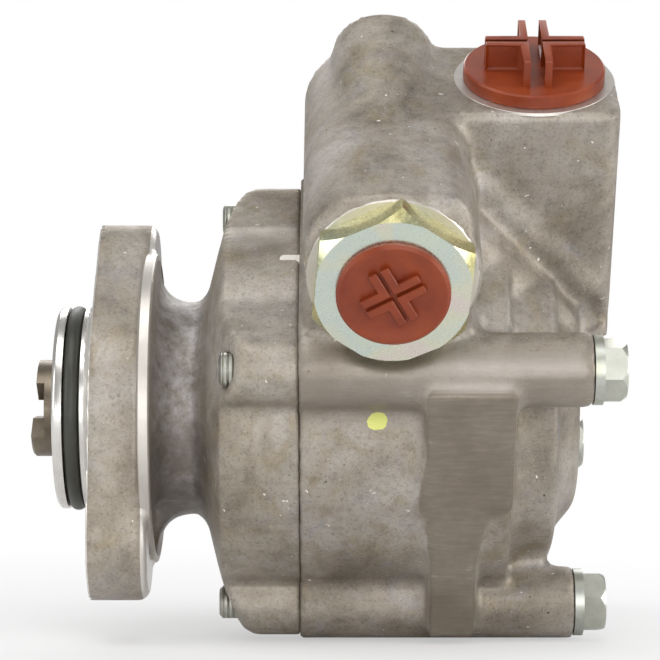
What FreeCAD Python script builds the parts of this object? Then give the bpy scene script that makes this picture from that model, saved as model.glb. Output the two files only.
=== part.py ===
# Power steering pump of the vane type, drawn in millimetres.
# +X runs from the drive end to the rear, +Y away from the viewer, +Z up.
# The origin is on the shaft axis, in the mounting face of the front flange.
import math
import os

import FreeCAD
import Part

V = FreeCAD.Vector

# Overall lay-out along the shaft
PILOT_LEN = 8.9          # pilot spigot in front of the mounting face
FLANGE_T = 14.5          # thickness of the mounting flange
JOINT_X = 51.0           # joint between front cover and main housing
BOSS_REAR_X = 118.0      # rear face of the bolt bosses
NEAR_BOSS_EXTRA = 1.3    # the boss beside the valve is this much longer
CLAW_FRONT_X = -15.4     # tip of the drive claw
CASTING_TILT = 31.0      # turn of the housing about the shaft axis, degrees

# Running and seating clearances
CLR_RUN = 0.03           # radial clearance of a running fit
CLR_SEAT = 0.02          # radial clearance of a seated ring or plate
CLR_FACE = 0.03          # axial clearance beside a running part
CLR_BALL = 0.02          # play of each ball in its track
CLR_THREAD = 0.05        # radial clearance drawn between screw and thread

# Mounting flange with two ears
PILOT_R = 25.0
EAR_PCD_R = 34.8         # distance of the flange holes from the shaft axis
EAR_R = 15.6
EAR_ANGLE = 28.0         # lean of the ears from the vertical, degrees
WAIST_R = 27.5
EAR_HOLE_R = 4.5
EAR_SPOT_R = 9.5         # clearance for the head of a mounting screw
TURNED_STEP_R = 36.7     # turned rim on the back of the flange
TURNED_STEP = 0.6

# Pilot seal ring
RING_SECTION = 3.9
RING_X = -4.3            # middle of the groove
RING_GROOVE_W = 4.2

# Neck and bell of the front cover
NECK_R = 26.4
EAR_EDGE_R = 2.6         # rounding of the flange's rear edge
NECK_FRONT_X = 19.4
NECK_REAR_X = 26.0
BELL_R = 45.5
LOBE_R = 8.0             # bolt lobes on the front cover
BELL_SHOULDER_X = 40.0

# Main housing
BODY_R = 45.5
BOSS_R = 8.8             # bolt bosses on the housing
BODY_REAR_X = 101.0
DOME_R = 38.0
DOME_STEP_X = 112.8
DOME_REAR_X = 118.8
CAP_R = 30.0             # raised middle of the rear end
PAD_Y = -46.3            # sawn pad of the feeder, in the turned frame
PAD_X0 = 80.5
PAD_X1 = 101.5
PAD_NARROW_X0 = 82.0
PAD_NARROW_X1 = 93.5
PAD_TOP = 33.0
PAD_STEP_Z = 1.0
PAD_BOTTOM = -36.5

# Upper block of the housing, in the turned frame
BLOCK_TOP = 79.0
BLOCK_FRONT = 5.0        # side towards the pressure port
BLOCK_BACK = 44.0
BLOCK_REAR_X = 127.5
BLOCK_LEFT_SET = 1.0     # the block stands this much behind the joint
TOWER_FOOT = 16.0
TOWER_FAR_R = 18.0       # corners of the tower, seen from above
TOWER_NEAR_R = 4.0
SHOULDER_R = 9.0
BLOCK_CORNER_R = 15.0
RIDGE_R = 12.6
RIDGE_X = 71.3
RIDGE_END_Z = 77.4

# Tie bolts M8
BOLT_CIRCLE_R = 48.5
BOLT_TURN = 1.8          # turn of the bolts against the housing, degrees
BOLT_R = 4.0
BOLT_AF = 13.0
BOLT_HEAD = 5.5
BOLT_LEN = 89.0
BOLT_HOLE_R = 4.25
WASHER_R = 8.2
WASHER_T = 2.2

# Shaft, seal and bearing 20 x 42 x 12
CLAW_R = 12.0
CLAW_SLOT_W = 4.5
CLAW_SLOT_D = 3.4         # from the longer claw
CLAW_SLOT_ANGLE = 1.5
CLAW_MOUTH_Y = 4.8        # from here out the slot widens towards its ends
CLAW_MOUTH_SLOPE = 0.86
CLAW_STEP = 1.4          # one claw stands this much behind the other
BRG_BORE_R = 10.0
BRG_R = 21.0
BRG_W = 12.0
BRG_X = 0.9              # front face of the bearing
BRG_BALLS = 9
BALL_R = 0.291 * (BRG_R - BRG_BORE_R)
BALL_PITCH_R = (BRG_R + BRG_BORE_R) / 2
RACE_WALL = 0.264 * (BRG_R - BRG_BORE_R)
SEAL_W = 7.0
SEAL_X = -8.1
CIRCLIP_T = 1.2
CIRCLIP_GROOVE = 0.9
SHAFT_MID_R = 9.0
SPLINE_R = 8.6
SPLINE_TEETH = 12
SPLINE_DEPTH = 1.0
SHAFT_TAIL_R = 8.0
BUSH_WALL = 1.5
FRONT_BUSH_LEN = 14.0
REAR_BUSH_LEN = 14.0
SHAFT_END_X = 112.0

# Pumping group
PLATE_T = 8.0
PACK_W = 24.0            # width of cam ring, rotor and vanes
PACK_R = 38.0
ROTOR_R = 25.3
CAM_MINOR_R = 25.5
CAM_MAJOR_R = 28.0
VANE_COUNT = 10
VANE_T = 1.8
VANE_H = 9.6
VANE_SLOT_BOTTOM_R = 14.2
VANE_TAIL_R = 1.6        # round root of each vane slot
DOWEL_R = 2.5
DOWEL_PITCH_R = 33.0
SPRING_T = 2.6           # space of the plate spring
GALLERY_R = 40.5
JOINT_RING_R = PACK_R + 3.2
JOINT_RING_SECTION = 2.0

# Flow control valve, in the turned frame
VALVE_X = 72.5
VALVE_Z = 59.0
VALVE_R = 8.0
VALVE_END_Y = 36.0
COLLAR_R = 20.6
COLLAR_FRONT_Y = -37.0
SPOOL_LEN = 34.0
RELIEF_R = 3.0
RELIEF_DEPTH = 16.0      # bore of the relief valve in the spool
RETURN_R = 2.8           # passages cast or drilled in the housing
FEED_R = 2.4

# Pressure adapter and ports
HEX_AF = 35.0
HEX_H = 7.2
HEX_TURN = 5.4
ADAPTER_R = 13.0
ADAPTER_SHANK = 14.0
NOSE_R = 6.0             # stop of the spool on the inner end
NOSE_LEN = 4.7
PRESS_THREAD_R = 8.25    # M18 x 1.5, drawn at the core of the thread
PRESS_THREAD_LEN = 15.0
PORT_RELIEF = 0.2        # plain mouth of a port, wider than its thread
PORT_RELIEF_EXTRA = 0.2  # mouth length past the plug
ORIFICE_R = 3.0
PRESS_PLUG_R = 13.0
PRESS_PLUG_T = 1.6
PRESS_PLUG_SHANK = 6.0
PRESS_SLOT_TURN = -31.0
SUCTION_X = 107.7
SUCTION_Y = 24.9
SUCTION_THREAD_R = 12.25  # M26 x 1.5, drawn at the core of the thread
SUCTION_THREAD_LEN = 22.0
SUCTION_PLUG_R = 17.2
SUCTION_PLUG_T = 3.5
SUCTION_PLUG_SHANK = 10.0
SUCTION_GRIP_H = 6.8
SUCTION_GRIP_L = 12.0
GRIP_WALL = 2.3
GRIP_GAP = 3.0
PLUG_WALL = 1.6

# Places that follow from the sizes above
PLATE1_X = JOINT_X
CAM_X = PLATE1_X + PLATE_T
PLATE2_X = CAM_X + PACK_W
SPRING_X = PLATE2_X + PLATE_T
BORE_END_X = SPRING_X + SPRING_T
BRG_END_X = BRG_X + BRG_W
SHAFT_STEP_X = BRG_X
SPOOL_Y0 = COLLAR_FRONT_Y + ADAPTER_SHANK + NOSE_LEN + 0.3
BOLT_ANGLES = [45.0 + BOLT_TURN + 90.0 * i for i in range(4)]
NEAR_BOLT = BOLT_ANGLES[1]


def cyl(x0, x1, r, y=0.0, z=0.0):
    """A cylinder along the shaft axis."""
    return Part.makeCylinder(r, x1 - x0, V(x0, y, z), V(1, 0, 0))


def tube(x0, x1, ro, ri, y=0.0, z=0.0):
    return cyl(x0, x1, ro, y, z).cut(cyl(x0 - 1, x1 + 1, ri, y, z))


def rod(p, q, r):
    """A cylinder between two points."""
    d = V(*q) - V(*p)
    return Part.makeCylinder(r, d.Length, V(*p), d)


def box(x0, x1, y0, y1, z0, z1):
    return Part.makeBox(x1 - x0, y1 - y0, z1 - z0, V(x0, y0, z0))


def turn(shape, angle, centre=(0, 0, 0), axis=(1, 0, 0)):
    s = shape.copy()
    s.rotate(V(*centre), V(*axis), angle)
    return s


def tilted(shape):
    """Brings a shape from the upright frame of the housing to its place."""
    return turn(shape, CASTING_TILT)


def revolved(points):
    """Turns a closed outline of (x, r) points about the shaft axis."""
    pts = [V(x, 0, r) for x, r in points]
    face = Part.Face(Part.makePolygon(pts + [pts[0]]))
    return face.revolve(V(0, 0, 0), V(1, 0, 0), 360)


def on_circle(r, angle):
    a = math.radians(angle)
    return r * math.cos(a), r * math.sin(a)


def hexagon(af, x0, x1, y, z, angle=0.0):
    r = af / math.sqrt(3.0)
    pts = []
    for i in range(7):
        dy, dz = on_circle(r, angle + 60.0 * i)
        pts.append(V(x0, y + dy, z + dz))
    return Part.Face(Part.makePolygon(pts)).extrude(V(x1 - x0, 0, 0))


def fuse(first, *rest):
    return first.fuse(list(rest)).removeSplitter()


def lug(angle, pitch, r, x0, x1):
    """A round lobe with a straight web back to the middle."""
    cy, cz = on_circle(pitch, angle)
    web = turn(box(x0, x1, 0, pitch, -r, r), angle)
    return cyl(x0, x1, r, cy, cz).fuse(web)


def save(name, shape):
    solids = shape.Solids
    part = solids[0] if len(solids) == 1 else Part.makeCompound(solids)
    part.exportStep("parts/" + name + ".step")


# Front cover with flange, neck and bell
def flange_plate():
    ear_dir = 90.0 - EAR_ANGLE
    outline = cyl(0, FLANGE_T, WAIST_R)
    gamma = math.asin((WAIST_R - EAR_R) / EAR_PCD_R)
    for k in (0, 180):
        ey, ez = on_circle(EAR_PCD_R, ear_dir + k)
        pts = []
        for side in (1, -1):
            n = ear_dir + k + side * (90.0 - math.degrees(gamma))
            wy, wz = on_circle(WAIST_R, n)
            dy, dz = on_circle(EAR_R, n)
            pair = [V(0, wy, wz), V(0, ey + dy, ez + dz)]
            pts += pair if side == 1 else pair[::-1]
        web = Part.Face(Part.makePolygon(pts + [pts[0]])).extrude(V(FLANGE_T, 0, 0))
        outline = outline.fuse([web, cyl(0, FLANGE_T, EAR_R, ey, ez)])
    outline = outline.removeSplitter()
    rear = [e for e in outline.Edges if abs(e.BoundBox.XMin - FLANGE_T) < 0.01
            and abs(e.BoundBox.XMax - FLANGE_T) < 0.01]
    return outline.makeFillet(EAR_EDGE_R, rear)


def bell_envelope(top_r):
    """The turned form behind the neck, out to a radius."""
    rise = top_r - NECK_R
    return revolved([
        (NECK_REAR_X - 6, 0), (NECK_REAR_X - 6, NECK_R), (NECK_REAR_X, NECK_R),
        (NECK_REAR_X + 2.2, NECK_R + 0.10 * rise),
        (NECK_REAR_X + 4.6, NECK_R + 0.42 * rise),
        (NECK_REAR_X + 6.6, NECK_R + 0.66 * rise),
        (NECK_REAR_X + 8.8, NECK_R + 0.83 * rise),
        (NECK_REAR_X + 11.0, NECK_R + 0.94 * rise),
        (BELL_SHOULDER_X, top_r), (JOINT_X, top_r), (JOINT_X, 0)])


def front_cover():
    lobe_top = BOLT_CIRCLE_R + LOBE_R
    plan = cyl(NECK_REAR_X - 6, JOINT_X, BELL_R)
    for a in BOLT_ANGLES:
        plan = plan.fuse(lug(a + CASTING_TILT, BOLT_CIRCLE_R, LOBE_R,
                             NECK_REAR_X - 6, JOINT_X))
    reach = BOLT_CIRCLE_R * math.cos(math.radians(45.0))
    shoulder = box(NECK_REAR_X - 6, JOINT_X, -reach, reach, 0, reach + LOBE_R)
    plan = plan.fuse(turn(shoulder, CASTING_TILT + BOLT_TURN))
    bell = plan.common(bell_envelope(lobe_top)).removeSplitter()
    flare = revolved([
        (FLANGE_T, 0), (FLANGE_T, TURNED_STEP_R), (FLANGE_T + TURNED_STEP, TURNED_STEP_R - 0.4),
        (FLANGE_T + 1.3, NECK_R + 6.6), (FLANGE_T + 2.2, NECK_R + 3.4),
        (FLANGE_T + 3.4, NECK_R + 1.4), (NECK_FRONT_X + 0.8, NECK_R),
        (NECK_REAR_X, NECK_R), (NECK_REAR_X, 0)])
    plate = flange_plate()
    collar = flange_plate()
    collar.translate(V(TURNED_STEP + 0.1, 0, 0))
    flare = flare.common(collar.fuse(cyl(FLANGE_T, NECK_REAR_X, WAIST_R)))
    pilot = revolved([(-PILOT_LEN, 0), (-PILOT_LEN, PILOT_R - 0.9),
                      (-PILOT_LEN + 0.9, PILOT_R), (0.5, PILOT_R), (0.5, 0)])
    body = fuse(plate, pilot, flare, bell)
    # ring groove, bores from the front, bores from the joint
    groove_floor = PILOT_R - RING_SECTION - 2 * CLR_SEAT
    body = body.cut(tube(RING_X - RING_GROOVE_W / 2, RING_X + RING_GROOVE_W / 2,
                         PILOT_R + 2, groove_floor))
    brg_r = BRG_R + CLR_SEAT
    body = body.cut(cyl(-PILOT_LEN - 1, BRG_END_X, brg_r))
    clip_x = BRG_X - CIRCLIP_T - 0.1
    body = body.cut(cyl(clip_x, BRG_X, brg_r + CIRCLIP_GROOVE))
    bush_r = SHAFT_MID_R + CLR_RUN + BUSH_WALL + CLR_SEAT
    body = body.cut(cyl(BRG_END_X - 1, JOINT_X - FRONT_BUSH_LEN, BRG_R - RACE_WALL - 2.6))
    body = body.cut(cyl(BRG_END_X, JOINT_X + 1, bush_r))
    for k in (0, 180):
        hy, hz = on_circle(EAR_PCD_R, 90.0 - EAR_ANGLE + k)
        body = body.cut(cyl(-1, FLANGE_T + 1, EAR_HOLE_R, hy, hz))
        body = body.cut(cyl(FLANGE_T, NECK_FRONT_X + 2, EAR_SPOT_R, hy, hz))
    for a in BOLT_ANGLES:
        by, bz = on_circle(BOLT_CIRCLE_R, a + CASTING_TILT)
        body = body.cut(cyl(NECK_REAR_X, JOINT_X + 1,
                            BOLT_R + CLR_THREAD, by, bz))
    # milled index notch at the joint, on the side of the viewer
    notch = tilted(box(JOINT_X - 5.2, JOINT_X + 1, -60, -BELL_R + 1.6, 20.0, 22.6))
    return body.cut(notch)


# Main housing, built upright and then turned
def valve_rod(y0, y1, r):
    return rod((VALVE_X, y0, VALVE_Z), (VALVE_X, y1, VALVE_Z), r)


def upper_block():
    left_x = JOINT_X + BLOCK_LEFT_SET
    right_x = VALVE_X + COLLAR_R - 2.0
    left = box(left_x, right_x, COLLAR_FRONT_Y + 2.0, BLOCK_BACK, 30, BLOCK_TOP)

    def top_edge(x):
        return [e for e in left.Edges if abs(e.CenterOfMass.x - x) < 0.01
                and abs(e.CenterOfMass.z - BLOCK_TOP) < 0.01]

    left = left.makeFillet(BLOCK_CORNER_R, top_edge(left_x))
    left = left.makeFillet(SHOULDER_R, top_edge(right_x))
    tower = box(VALVE_X + 10, BLOCK_REAR_X, BLOCK_FRONT, BLOCK_BACK, TOWER_FOOT, BLOCK_TOP)

    def upright(y):
        return [e for e in tower.Edges if abs(e.CenterOfMass.x - BLOCK_REAR_X) < 0.01
                and abs(e.CenterOfMass.y - y) < 0.01 and abs(e.BoundBox.ZLength) > 20]

    tower = tower.makeFillet(TOWER_FAR_R, upright(BLOCK_BACK))
    tower = tower.makeFillet(TOWER_NEAR_R, upright(BLOCK_FRONT))
    # diagonal valley between the tower and the gusset beside the near boss
    valley = rod((VALVE_X + 9, BLOCK_FRONT - 1.2, BLOCK_TOP - 6),
                 (BLOCK_REAR_X - 2, BLOCK_FRONT - 1.2, 20), 5.0)
    gusset_pts = [V(VALVE_X + 8, 0, BLOCK_TOP - 14), V(BLOCK_REAR_X - 9, 0, 28),
                  V(BLOCK_REAR_X - 9, 0, 20), V(VALVE_X + 8, 0, 20)]
    gusset = Part.Face(Part.makePolygon(gusset_pts + [gusset_pts[0]]))
    gusset.translate(V(0, BLOCK_FRONT - 8, 0))
    gusset = gusset.extrude(V(0, 26, 0))
    ridge = rod((RIDGE_X, BLOCK_FRONT - 22, VALVE_Z + 3),
                (RIDGE_X, BLOCK_BACK, RIDGE_END_Z), RIDGE_R)
    end_trim = box(VALVE_X - 20, VALVE_X + 20, BLOCK_BACK, BLOCK_BACK + 20, 40, 110)
    collar = valve_rod(COLLAR_FRONT_Y, BLOCK_FRONT + 4, COLLAR_R)
    neck = valve_rod(BLOCK_FRONT, BLOCK_BACK - 1, VALVE_R + 7)
    block = fuse(left, tower, gusset).cut(valley)
    return fuse(block, ridge.cut(end_trim), collar, neck)


def boss_rear(angle):
    """Rear face of the boss of the bolt at that angle."""
    return BOSS_REAR_X + (NEAR_BOSS_EXTRA if angle == NEAR_BOLT else 0.0)


def main_housing():
    body = cyl(JOINT_X, BODY_REAR_X, BODY_R)
    for a in BOLT_ANGLES:
        body = body.fuse(lug(a, BOLT_CIRCLE_R, BOSS_R, JOINT_X, BODY_REAR_X - 8))
        by, bz = on_circle(BOLT_CIRCLE_R, a)
        body = body.fuse(cyl(BODY_REAR_X - 9, boss_rear(a), BOSS_R, by, bz))
        if bz < 0:
            web = box(BODY_REAR_X - 9, BODY_REAR_X + 9, 0, BOLT_CIRCLE_R, -5.5, 5.5)
            body = body.fuse(turn(web, a))
    reach = BOLT_CIRCLE_R * math.cos(math.radians(45.0))
    shoulder = box(JOINT_X, BODY_REAR_X - 8, -reach, reach, 0, reach + BOSS_R)
    body = body.fuse(turn(shoulder, BOLT_TURN))
    dome = revolved([(BODY_REAR_X - 6, 0), (BODY_REAR_X - 6, DOME_R + 3), (BODY_REAR_X, DOME_R + 1.5),
                     (BODY_REAR_X + 4, DOME_R), (DOME_STEP_X - 1.4, DOME_R - 0.5),
                     (DOME_STEP_X, DOME_R - 2.2), (DOME_STEP_X + 0.2, CAP_R + 0.8),
                     (DOME_REAR_X - 1.2, CAP_R - 4.6), (DOME_REAR_X, CAP_R - 6.5), (DOME_REAR_X, 0)])
    pad = box(PAD_NARROW_X0, PAD_NARROW_X1, PAD_Y, -20, PAD_BOTTOM, PAD_TOP).fuse(
        box(PAD_X0, PAD_X1, PAD_Y, -20, PAD_STEP_Z, PAD_TOP))
    body = fuse(body, dome, pad, upper_block())
    # bore of the pumping group with its gallery, rear bush and blind end
    body = body.cut(cyl(JOINT_X - 1, BORE_END_X, PACK_R + CLR_SEAT))
    body = body.cut(cyl(CAM_X + 5, PLATE2_X - 5, GALLERY_R))
    bush_r = SHAFT_TAIL_R + CLR_RUN + BUSH_WALL + CLR_SEAT
    body = body.cut(cyl(BORE_END_X - 1, BORE_END_X + REAR_BUSH_LEN, bush_r))
    body = body.cut(cyl(BORE_END_X, SHAFT_END_X + 0.6, SHAFT_TAIL_R + 0.5))
    # joint ring groove
    half = JOINT_RING_SECTION / 2 + 0.1
    body = body.cut(tube(JOINT_X - 1, JOINT_X + JOINT_RING_SECTION,
                         JOINT_RING_R + half, JOINT_RING_R - half))
    for a in BOLT_ANGLES:
        by, bz = on_circle(BOLT_CIRCLE_R, a)
        body = body.cut(cyl(JOINT_X - 1, boss_rear(a) + 12, BOLT_HOLE_R, by, bz))
        body = body.cut(cyl(boss_rear(a), boss_rear(a) + 12, BOSS_R + 1.2, by, bz))
    # suction port, channel along the housing and down to the gallery
    floor = BLOCK_TOP - SUCTION_THREAD_LEN
    body = body.cut(rod((SUCTION_X, SUCTION_Y, floor), (SUCTION_X, SUCTION_Y, BLOCK_TOP + 1),
                        SUCTION_THREAD_R))
    mouth = BLOCK_TOP - SUCTION_PLUG_SHANK - PORT_RELIEF_EXTRA
    body = body.cut(rod((SUCTION_X, SUCTION_Y, mouth), (SUCTION_X, SUCTION_Y, BLOCK_TOP + 1),
                        SUCTION_THREAD_R + PORT_RELIEF))
    body = body.cut(rod((SUCTION_X, SUCTION_Y, floor - 8), (SUCTION_X, SUCTION_Y, floor + 1), 9.5))
    run_z = floor - 2
    gallery_x = (CAM_X + PLATE2_X) / 2
    body = body.cut(rod((SUCTION_X, SUCTION_Y, run_z - 4), (gallery_x, SUCTION_Y, run_z - 8), 5.5))
    body = body.cut(rod((gallery_x, SUCTION_Y, run_z - 8), (gallery_x, 12, 34), 5.5))
    # valve bore, thread of the adapter, pressure and return passages
    body = body.cut(valve_rod(COLLAR_FRONT_Y - 20, COLLAR_FRONT_Y, COLLAR_R + 0.8))
    body = body.cut(valve_rod(COLLAR_FRONT_Y - 1, VALVE_END_Y, VALVE_R + CLR_RUN))
    body = body.cut(valve_rod(COLLAR_FRONT_Y - 1, COLLAR_FRONT_Y + ADAPTER_SHANK + 1.0,
                              ADAPTER_R + CLR_THREAD))
    feed_x = SPRING_X + 1.2
    feed_y = SPOOL_Y0 - NOSE_LEN / 2
    body = body.cut(rod((feed_x, feed_y / 2, 30), (VALVE_X + VALVE_R, feed_y, VALVE_Z), FEED_R))
    body = body.cut(rod((VALVE_X, feed_y + 10, VALVE_Z - 6),
                        (SUCTION_X, SUCTION_Y, floor - 6), RETURN_R))
    return tilted(body)


# Tie bolts and washers
def tie_bolt(angle):
    y, z = on_circle(BOLT_CIRCLE_R, angle + CASTING_TILT)
    head_x = boss_rear(angle) + WASHER_T
    tip = head_x - BOLT_LEN
    stem = cyl(tip + 0.8, head_x, BOLT_R, y, z)
    point = Part.makeCone(BOLT_R - 0.8, BOLT_R, 0.8, V(tip, y, z), V(1, 0, 0))
    head = hexagon(BOLT_AF, head_x, head_x + BOLT_HEAD, y, z, angle)
    crown = Part.makeCone(BOLT_AF / 2 + 4.0, BOLT_AF / 2 - 0.4, BOLT_HEAD + 0.4,
                          V(head_x, y, z), V(1, 0, 0))
    return fuse(stem, point, head.common(crown))


def washer(angle):
    y, z = on_circle(BOLT_CIRCLE_R, angle + CASTING_TILT)
    x = boss_rear(angle)
    return tube(x, x + WASHER_T, WASHER_R, BOLT_R + 0.2, y, z)


# Shaft with claw and spline
def shaft():
    tip2 = CLAW_FRONT_X + CLAW_STEP
    body = cyl(CLAW_FRONT_X, SHAFT_STEP_X, CLAW_R)
    body = body.makeChamfer(0.6, [e for e in body.Edges
                                  if abs(e.CenterOfMass.x - CLAW_FRONT_X) < 0.01])
    slot_bottom = CLAW_FRONT_X + CLAW_SLOT_D
    half = CLAW_SLOT_W / 2
    wide = half + (20.0 - CLAW_MOUTH_Y) * CLAW_MOUTH_SLOPE
    outline = [(CLAW_MOUTH_Y, half), (20, wide), (20, -wide), (CLAW_MOUTH_Y, -half),
               (-CLAW_MOUTH_Y, -half), (-20, -wide), (-20, wide), (-CLAW_MOUTH_Y, half)]
    points = [V(CLAW_FRONT_X - 1, y, z) for y, z in outline]
    slot = Part.Face(Part.makePolygon(points + points[:1]))
    slot = slot.extrude(V(slot_bottom - CLAW_FRONT_X + 1, 0, 0))
    short = box(CLAW_FRONT_X - 1, tip2, -20, 20, 0, 20)
    body = body.cut(turn(slot.fuse(short), CLAW_SLOT_ANGLE))
    spline_x0 = PLATE1_X + PLATE_T + CLR_FACE
    spline_x1 = PLATE2_X - CLR_FACE
    body = fuse(body, cyl(SHAFT_STEP_X, BRG_END_X + 4, BRG_BORE_R - CLR_SEAT),
                cyl(BRG_END_X + 4, spline_x0, SHAFT_MID_R),
                cyl(spline_x0, spline_x1, SPLINE_R - SPLINE_DEPTH),
                cyl(spline_x1, SHAFT_END_X, SHAFT_TAIL_R))
    for i in range(SPLINE_TEETH):
        tooth = box(spline_x0, spline_x1, 0, SPLINE_R, -1.0, 1.0)
        body = body.fuse(turn(tooth, 360.0 * i / SPLINE_TEETH))
    ring_x = BRG_END_X + 0.05
    body = body.cut(tube(ring_x, ring_x + CIRCLIP_T + 0.1, BRG_BORE_R + 2,
                         BRG_BORE_R - CIRCLIP_GROOVE))
    return body.removeSplitter()


def rotor():
    x0 = CAM_X + CLR_FACE
    x1 = PLATE2_X - CLR_FACE
    body = tube(x0, x1, ROTOR_R, SPLINE_R - SPLINE_DEPTH + 0.1)
    for i in range(SPLINE_TEETH):
        gap = box(x0 - 1, x1 + 1, 0, SPLINE_R + 0.1, -1.1, 1.1)
        body = body.cut(turn(gap, 360.0 * i / SPLINE_TEETH))
    half = VANE_T / 2 + CLR_RUN
    for i in range(VANE_COUNT):
        slot = box(x0 - 1, x1 + 1, VANE_SLOT_BOTTOM_R, ROTOR_R + 2, -half, half)
        root = cyl(x0 - 1, x1 + 1, VANE_TAIL_R, VANE_SLOT_BOTTOM_R, 0)
        body = body.cut(turn(slot.fuse(root), 360.0 * i / VANE_COUNT))
    return body


def vane(i):
    x0 = CAM_X + 2 * CLR_FACE
    x1 = PLATE2_X - 2 * CLR_FACE
    tip = CAM_MINOR_R - CLR_RUN
    plate = box(x0, x1, tip - VANE_H, tip, -VANE_T / 2, VANE_T / 2)
    nose = cyl(x0, x1, tip, 0, 0)
    return turn(plate.common(nose), 360.0 * i / VANE_COUNT)


def cam_radius(angle):
    """Two rises to the turn, smallest at 0 and 180 degrees."""
    lift = (CAM_MAJOR_R - CAM_MINOR_R) / 2
    return CAM_MINOR_R + lift * (1 - math.cos(math.radians(2 * angle)))


def cam_ring():
    pts = []
    for a in range(0, 360, 10):
        y, z = on_circle(cam_radius(a), a)
        pts.append(V(CAM_X - 1, y, z))
    curve = Part.BSplineCurve()
    curve.interpolate(Points=pts, PeriodicFlag=True)
    hole = Part.Face(Part.Wire(curve.toShape())).extrude(V(PACK_W + 2, 0, 0))
    body = cyl(CAM_X, PLATE2_X, PACK_R).cut(hole)
    for k in (0, 180):
        y, z = on_circle(DOWEL_PITCH_R, k)
        body = body.cut(cyl(CAM_X - 1, PLATE2_X + 1, DOWEL_R + CLR_SEAT, y, z))
        window = turn(rod((CAM_X + PACK_W / 2, 20, 0), (CAM_X + PACK_W / 2, 50, 0), 4.0), 45 + k)
        body = body.cut(window)
    return body


def kidneys(x0, x1, angles, r_mid, width, span):
    """Kidney-shaped openings round the shaft axis."""
    out = []
    for a in angles:
        ring = tube(x0, x1, r_mid + width / 2, r_mid - width / 2)
        big = 60.0
        wedge_pts = [V(x0, 0, 0)]
        for s in (-span / 2, 0, span / 2):
            y, z = on_circle(big, a + s)
            wedge_pts.append(V(x0, y, z))
        wedge = Part.Face(Part.makePolygon(wedge_pts + [wedge_pts[0]])).extrude(V(x1 - x0, 0, 0))
        out.append(ring.common(wedge))
    return out


def side_plate(x0, bore_r, angles):
    body = tube(x0, x0 + PLATE_T, PACK_R, bore_r)
    mid = (CAM_MINOR_R + CAM_MAJOR_R) / 2 - 1.4
    for piece in kidneys(x0 - 1, x0 + PLATE_T + 1, angles, mid, 3.6, 34):
        body = body.cut(piece)
    for piece in kidneys(x0 - 1, x0 + PLATE_T + 1, angles, VANE_SLOT_BOTTOM_R, 2.6, 44):
        body = body.cut(piece)
    for k in (0, 180):
        y, z = on_circle(DOWEL_PITCH_R, k)
        body = body.cut(cyl(x0 - 1, x0 + PLATE_T + 1, DOWEL_R + CLR_SEAT, y, z))
    return body


def dowel(k):
    y, z = on_circle(DOWEL_PITCH_R, k)
    return cyl(PLATE1_X + 0.2, SPRING_X - 0.2, DOWEL_R, y, z)


def plate_spring():
    """A conical disc spring between the rear plate and the housing."""
    lean = SPRING_T - 0.9
    return revolved([(SPRING_X + 0.02, 24.0), (SPRING_X + lean, 34.0),
                     (SPRING_X + lean + 0.88, 34.0), (SPRING_X + 0.9, 24.0)])


# Bearing, seal and retaining rings
def bearing_ring(inner):
    x0, x1 = BRG_X, BRG_END_X
    if inner:
        ring = tube(x0, x1, BRG_BORE_R + RACE_WALL + 0.6, BRG_BORE_R)
    else:
        ring = tube(x0, x1, BRG_R, BRG_R - RACE_WALL - 0.6)
    mid = (x0 + x1) / 2
    track_r = (BALL_R + CLR_BALL) / math.cos(math.radians(11.25))
    points = []
    for i in range(16):
        a = math.radians(11.25 + 22.5 * i)
        points.append((mid + track_r * math.cos(a), BALL_PITCH_R + track_r * math.sin(a)))
    return ring.cut(revolved(points))


def ball_angles():
    return [360.0 * i / BRG_BALLS for i in range(BRG_BALLS)]


def bearing_balls():
    mid = (BRG_X + BRG_END_X) / 2
    outline = []
    for i in range(9):
        a = math.radians(22.5 * i)
        outline.append((BALL_R * math.cos(a), BALL_R * math.sin(a)))
    ball = revolved(outline)
    balls = []
    for a in ball_angles():
        y, z = on_circle(BALL_PITCH_R, a)
        copy = ball.copy()
        copy.translate(V(mid, y, z))
        balls.append(copy)
    return Part.makeCompound(balls)


def bearing_cage():
    mid = (BRG_X + BRG_END_X) / 2
    ring = tube(mid - 4.2, mid + 4.2, BALL_PITCH_R + 1.3, BALL_PITCH_R - 1.3)
    for a in ball_angles():
        y, z = on_circle(BALL_PITCH_R, a)
        ring = ring.cut(rod((mid, y * 0.6, z * 0.6), (mid, y * 1.4, z * 1.4),
                            BALL_R + 4 * CLR_BALL))
    return ring


def shaft_seal():
    x0, x1 = SEAL_X, SEAL_X + SEAL_W
    lip = CLAW_R + CLR_RUN
    return revolved([(x0, BRG_R), (x1, BRG_R), (x1, BRG_R - 1.4), (x0 + 1.4, BRG_R - 1.6),
                     (x0 + 1.6, lip + 2.4), (x1 - 1.4, lip + 1.8), (x1 - 1.6, lip + 0.3),
                     (x1 - 2.6, lip), (x0 + 1.4, lip + 0.9), (x0 + 0.6, lip + 0.1),
                     (x0, lip + 0.5)])


def split_ring(x0, ro, ri, gap):
    ring = tube(x0, x0 + CIRCLIP_T, ro, ri)
    return ring.cut(box(x0 - 1, x0 + CIRCLIP_T + 1, 0, ro + 5, -gap / 2, gap / 2))


def coil(start, end, axis_x, axis_z, r, wire, turns, steps=10):
    """A helical spring of flattened wire along the y axis of the turned frame."""
    h = wire * 0.42
    sections = []
    for i in range(turns * steps + 1):
        a = math.radians(360.0 * i / steps)
        y = start + wire / 2 + (end - start - wire) * i / (turns * steps)
        corners = [(r + sr * h, y + sy * h) for sr, sy in ((-1, -1), (1, -1), (1, 1), (-1, 1))]
        sections.append(Part.makePolygon(
            [V(axis_x + q * math.cos(a), t, axis_z + q * math.sin(a))
             for q, t in corners + corners[:1]]))
    return Part.makeLoft(sections, True, True)


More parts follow.
